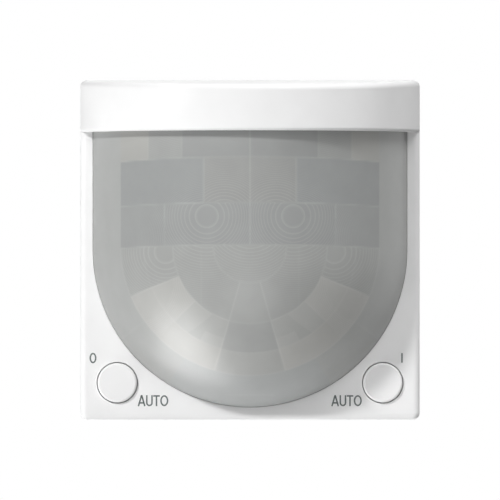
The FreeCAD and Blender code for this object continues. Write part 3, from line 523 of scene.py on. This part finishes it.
def profile():
    """Half the lens's section as (radius, depth): front from the middle out, then back inside.

    The second value is how many of its points lie on the front.
    """
    flange_front = COVER_DEPTH - RIM_LENGTH
    flange_rear = flange_front - FLANGE_THICKNESS
    hollow = LENS_RADIUS - LENS_WALL
    hollow_width = math.sqrt(hollow**2 - (COVER_DEPTH - LENS_AXIS) ** 2)
    outer = arc(LENS_RADIUS, RIM_RADIUS, FRONT_STEP)
    rim = [
        (RIM_RADIUS, flange_front),
        (FLANGE_RADIUS, flange_front),
        (FLANGE_RADIUS, flange_rear),
        (hollow_width, flange_rear),
    ]
    inner = arc(hollow, hollow_width, INSIDE_STEP)[::-1]
    return outer + rim + inner, len(outer)


def path():
    """Where the section goes: down the left side, round below and up the right side.

    Each station is how high the section's middle is, and how far the section has turned.
    """
    rise = round(LENS_TOP / BARREL_STEP)
    turns = round(180 / TURN_STEP)
    quarter = math.pi / 2
    left = [(LENS_TOP * (1 - k / rise), -quarter) for k in range(rise)]
    round_below = [(0.0, -quarter + math.pi * k / turns) for k in range(turns + 1)]
    right = [(LENS_TOP * (k + 1) / rise, quarter) for k in range(rise)]
    return left + round_below + right


def lens_mesh(points, colors, zones):
    """A closed shell over a grid of points, with the tone and the ring zone of each point."""
    rows, columns = zones.shape
    index = np.arange(rows * columns).reshape(rows, columns)
    quads = np.stack([index[:-1, :-1], index[:-1, 1:], index[1:, 1:], index[1:, :-1]], axis=-1)
    ends = [index[0][::-1].tolist(), index[-1].tolist()]
    corners = (points.reshape(-1, 3) * MM).tolist()
    mesh = bpy.data.meshes.new("lens_shell")
    mesh.from_pydata(corners, [], quads.reshape(-1, 4).tolist() + ends)
    tone = mesh.attributes.new("cell_tone", "FLOAT_COLOR", "POINT")
    tone.data.foreach_set("color", colors.ravel())
    zone = mesh.attributes.new("ring_zone", "FLOAT", "POINT")
    zone.data.foreach_set("value", zones.ravel())

    shape = bmesh.new()
    shape.from_mesh(mesh)
    bmesh.ops.remove_doubles(shape, verts=shape.verts, dist=SAME_PLACE)
    bmesh.ops.recalc_face_normals(shape, faces=shape.faces)
    for face in shape.faces:
        face.smooth = len(face.verts) <= 4  # the two ends are flat
    shape.to_mesh(mesh)
    shape.free()
    return mesh


def build_lens(material):
    """The lens as one closed shell whose front carries the pattern."""
    section, front_count = profile()
    radius, depth = np.array(section).T
    lift, turn = np.array(path()).T[:, :, None]
    x = np.sin(turn) * radius
    z = lift - np.cos(turn) * radius
    deep = np.broadcast_to(depth, x.shape)
    pattern = Pattern(x, z, deep)
    draw_cells(pattern)
    draw_seams(pattern)

    on_front = np.zeros(len(section))
    on_front[:front_count] = below(radius[:front_count], RIM_RADIUS - SEAM_END, SEAM_END_BLUR)
    seam = pattern.seam * on_front
    sink = seam * SEAM_DEPTH
    normal_x = np.sin(turn) * radius / LENS_RADIUS
    normal_y = (depth - LENS_AXIS) / LENS_RADIUS
    normal_z = np.where(lift > 0, 0, -np.cos(turn) * radius / LENS_RADIUS)
    points = np.stack(
        [x - normal_x * sink, -(deep - normal_y * sink), z - normal_z * sink], axis=-1
    )
    grey = LENS_GREY * pattern.tone * (1 + SEAM_LIGHT * seam)
    colors = [grey * (share + cool * pattern.cool) for share, cool in CHANNELS]
    opaque = np.ones(x.shape)
    mesh = lens_mesh(points, np.stack([*colors, opaque], axis=-1), pattern.zone)
    mesh.materials.append(material)
    lens = new_object("lens_shell", mesh)
    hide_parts("lens")
    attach(lens, "housing")


# Legends and scales, in millimetres

STROKE = 0.24
CURVE_STEPS = 24
INK_THICKNESS = 0.02
LETTER_WIDTHS = {"A": 1.28, "U": 1.08, "T": 1.06, "O": 1.3, "0": 1.12, "I": STROKE}
LETTER_GAP = 0.08
RUNG = 0.3  # height of the bar in an A, as a share of the letter
LEGENDS = {  # letters, left edge, foot, height
    "legend_off": ("0", -26.0, -18.35, 1.7),
    "legend_auto_left": ("AUTO", -18.2, -25.3, 1.78),
    "legend_auto_right": ("AUTO", 13.15, -25.3, 1.78),
    "legend_on": ("I", 24.5, -18.25, 1.55),
}
BACK_DEPTH = 7.0  # seat to the flat back
SCALE_RADIUS = 3.2
SCALE_FROM, SCALE_TO = -45, 225  # degrees
SCALE_STEPS = 10
MARK_LENGTH = 0.6
LONG_MARK_LENGTH = 1.0
SIGN_OFFSET = 3.9  # minus and plus, sideways and down from the dial's middle
SIGN_REACH = 0.5


def bar(start, end):
    """A straight stroke, as pairs of points on its two edges."""
    along = np.subtract(end, start)
    along = along / np.linalg.norm(along)
    across = np.array((-along[1], along[0])) * STROKE / 2
    return [(start + across, start - across), (end + across, end - across)]


def heading(degrees):
    """A direction in the picture plane, from the right and round by the top."""
    angle = math.radians(degrees)
    return np.array((math.cos(angle), math.sin(angle)))


def bow(centre, half_width, half_height, first, last):
    """A bent stroke along part of an ellipse, as pairs of outer and inner points."""
    pairs = []
    for number in range(CURVE_STEPS + 1):
        away = heading(first + (last - first) * number / CURVE_STEPS)
        pairs.append([
            centre + away * (half_width + reach, half_height + reach)
            for reach in (STROKE / 2, -STROKE / 2)
        ])
    return pairs


def letter(name, left, top):
    """The strokes of one letter that stands at height 0, as strips of point pairs."""
    half = STROKE / 2
    width = LETTER_WIDTHS[name]
    right = left + width
    middle = left + width / 2
    if name == "I":
        return [bar((middle, 0), (middle, top))]
    if name == "T":
        return [
            bar((left, top - half), (right, top - half)),
            bar((middle, 0), (middle, top - STROKE)),
        ]
    if name == "A":
        feet = [np.array((left + half, 0)), np.array((right - half, 0))]
        peak = np.array((middle, top))
        rung = [foot + (peak - foot) * RUNG for foot in feet]
        return [bar(feet[0], peak), bar(feet[1], peak), bar(*rung)]
    if name == "U":
        curve = width / 2 - half
        return [
            bar((left + half, top), (left + half, width / 2)),
            bow((middle, width / 2), curve, curve, first=180, last=360),
            bar((right - half, width / 2), (right - half, top)),
        ]
    ring = bow((middle, top / 2), width / 2 - half, top / 2 - half, first=0, last=360)
    return [ring]  # O and 0


def printed(name, strips, depth, outwards, material):
    """Thin ink on a flat face, from strips of point pairs.

    outwards is 1 for a face that looks to the front, and -1 for one that looks back.
    """
    shape = bmesh.new()
    for strip in strips:
        sections = [
            [
                shape.verts.new((point[0] * MM, -(depth + rise) * MM, point[1] * MM))
                for rise in (0.0, outwards * INK_THICKNESS)
                for point in pair
            ]
            for pair in strip
        ]
        for before, after in zip(sections, sections[1:]):
            for first, second in ((0, 1), (1, 3), (3, 2), (2, 0)):
                shape.faces.new((before[first], before[second], after[second], after[first]))
        gaps = [(start.co - end.co).length for start, end in zip(sections[0], sections[-1])]
        if max(gaps) > SAME_PLACE:
            for end in (sections[0], sections[-1]):
                shape.faces.new((end[0], end[1], end[3], end[2]))
    bmesh.ops.remove_doubles(shape, verts=shape.verts, dist=SAME_PLACE)
    bmesh.ops.recalc_face_normals(shape, faces=shape.faces)
    mesh = bpy.data.meshes.new(name)
    shape.to_mesh(mesh)
    shape.free()
    mesh.materials.append(material)
    piece = new_object(name, mesh)
    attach(piece, "housing")


def legend(name, text, left, foot, height, material):
    """Printed letters on the cover's flat plane."""
    strips = []
    for character in text:
        for strip in letter(character, left, height):
            strips.append([[np.add(point, (0, foot)) for point in pair] for pair in strip])
        left += LETTER_WIDTHS[character] + LETTER_GAP
    printed(name, strips, COVER_DEPTH, 1, material)


def dial_scale(name, dial, material):
    """A printed scale round a dial in the back: an arc, its marks, and a minus and a plus."""
    low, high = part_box(dial)
    middle = np.array((low[0] + high[0], low[2] + high[2])) / 2 / MM
    strips = [bow(middle, SCALE_RADIUS, SCALE_RADIUS, SCALE_FROM, SCALE_TO)]
    for number in range(SCALE_STEPS + 1):
        away = heading(SCALE_FROM + (SCALE_TO - SCALE_FROM) * number / SCALE_STEPS)
        is_long = number in (0, SCALE_STEPS / 2, SCALE_STEPS)
        length = LONG_MARK_LENGTH if is_long else MARK_LENGTH
        strips.append(bar(middle + away * SCALE_RADIUS, middle + away * (SCALE_RADIUS + length)))
    plus, minus = (middle + (side * SIGN_OFFSET, -SIGN_OFFSET) for side in (-1, 1))
    for sign in (plus, minus):
        strips.append(bar(sign - (SIGN_REACH, 0), sign + (SIGN_REACH, 0)))
    for up in (-1, 1):
        strips.append(bar(plus + (0, up * STROKE / 2), plus + (0, up * SIGN_REACH)))
    printed(name, strips, -BACK_DEPTH, -1, material)


# Studio, in metres

LAMPS = {  # degrees from the front to the right, degrees up, watts, side of the soft box
    "key": (-38, 31, 5.8, 0.12),
    "sheen": (-72, -48, 3.4, 0.5),
    "low_left": (-110, -60, 3.8, 0.55),
    "low_front": (0, -30, 1.5, 0.55),
    "front": (0, 31, 2.8, 0.55),
    "high_right": (86, 53, 6.2, 0.55),
    "behind": (180, 0, 5.0, 0.55),
}
LAMP_DISTANCE = 1.0
AIM = Vector((0, -0.015, 0))
WORLD_LIGHT = 0.06
WHITE = (1, 1, 1, 1)
FLOOR_LEVEL = -1.1
FLOOR_HALF = 2.0
FLOOR_COLOR = (0.9, 0.9, 0.9, 1)
FLOOR_GLOW = (0.6, 0.6, 0.6, 1)
CAMERA_DISTANCE = 1.288  # from the cover's flat plane
VIEW_WIDTH = 0.081  # of the picture, at that plane
SENSOR_WIDTH = 36  # millimetres


def soft_lamp(name, around, up, power, side):
    """A square soft box that faces the detector."""
    data = bpy.data.lights.new(name, "AREA")
    data.shape = "SQUARE"
    data.size = side
    data.energy = power
    around, up = math.radians(around), math.radians(up)
    level = math.cos(up)
    away = Vector((math.sin(around) * level, -math.cos(around) * level, math.sin(up)))
    lamp = new_object(name, data)
    lamp.location = AIM + away * LAMP_DISTANCE
    lamp.rotation_euler = away.to_track_quat("Z", "Y").to_euler()


def background_rays(tree):
    """1 for the rays that show the surroundings: straight, mirrored or through something clear."""
    rays = add(tree, "LightPath").outputs
    seen = rays["Is Camera Ray"]
    for kind in ("Is Glossy Ray", "Is Transmission Ray"):
        seen = add(tree, "Math", seen, rays[kind], settings={"operation": "MAXIMUM"}).outputs[0]
    return seen


def studio():
    """White surroundings that are seen and mirrored but give little light, and the lamps."""
    world = bpy.data.worlds.new("studio")
    bpy.context.scene.world = world
    world.use_nodes = True
    tree = world.node_tree
    light = fill(tree.nodes["Background"], Color=WHITE, Strength=WORLD_LIGHT)
    white = add(tree, "Background", Color=WHITE, Strength=1.0)
    mix = add(tree, "MixShader", background_rays(tree), light.outputs[0], white.outputs[0])
    fill(tree.nodes["World Output"], Surface=mix.outputs[0])
    for name, values in LAMPS.items():
        soft_lamp(name, *values)


def camera():
    """Level with the detector, straight in front of it and far away."""
    data = bpy.data.cameras.new("camera")
    data.sensor_width = SENSOR_WIDTH
    data.lens = SENSOR_WIDTH * CAMERA_DISTANCE / VIEW_WIDTH
    data.clip_start = 0.05
    data.clip_end = 20
    made = new_object("camera", data)
    made.location = (0, -(CAMERA_DISTANCE + COVER_DEPTH * MM), 0)
    made.rotation_euler = (math.radians(90), 0, 0)
    bpy.context.scene.camera = made


def floor():
    """A pale floor well below the detector, where the lamps are too weak to show it pale.

    It keeps the shadow that the lamps give, and background rays see a pale colour added.
    """
    mesh = bpy.data.meshes.new("floor")
    corners = [
        (across * FLOOR_HALF, along * FLOOR_HALF, FLOOR_LEVEL)
        for across, along in ((-1, -1), (1, -1), (1, 1), (-1, 1))
    ]
    mesh.from_pydata(corners, [], [(0, 1, 2, 3)])
    material, tree, shader = new_material("floor_paper")
    fill(shader, Base_Color=FLOOR_COLOR, Roughness=0.8)
    glow = add(tree, "Emission", Color=FLOOR_GLOW, Strength=background_rays(tree))
    both = add(tree, "AddShader", shader.outputs[0], glow.outputs[0])
    fill(tree.nodes["Material Output"], Surface=both.outputs[0])
    mesh.materials.append(material)
    made = new_object("floor", mesh)


def dress_nodes(materials, dial_material_slot_shade):
    """Gives each CAD node the material of its slot in the record, and the dials their own with
    painted shade in their slot and notch.
    """
    for part in RECORD["subparts"]:
        for slot in NODES[part["node"]].material_slots:
            slot.material = materials[part["material_slot"]]
    for setting in SETTINGS:
        for slot in NODES[f"{setting}_dial"].material_slots:
            slot.material = dial_material_slot_shade


slot_materials = {
    "cover": cover_plastic(),
    **{name: moulded(name, *values) for name, values in PLASTICS.items()},
    "board": circuit_board(),
    **{name: metal(name, *values) for name, values in METALS.items()},
    "lens": lens_plastic(),
}
dress_nodes(slot_materials, dial_plastic_slot_shade())
build_lens(slot_materials["lens"])
legend_ink = ink("legend_ink", LEGEND_INK)
for name, values in LEGENDS.items():
    legend(name, *values, legend_ink)
scale_print = ink("scale_print", SCALE_INK)
for setting in SETTINGS:
    dial_scale(f"{setting}_scale", f"{setting}_dial", scale_print)
floor()
studio()
camera()
bpy.context.scene.view_settings.view_transform = "Standard"
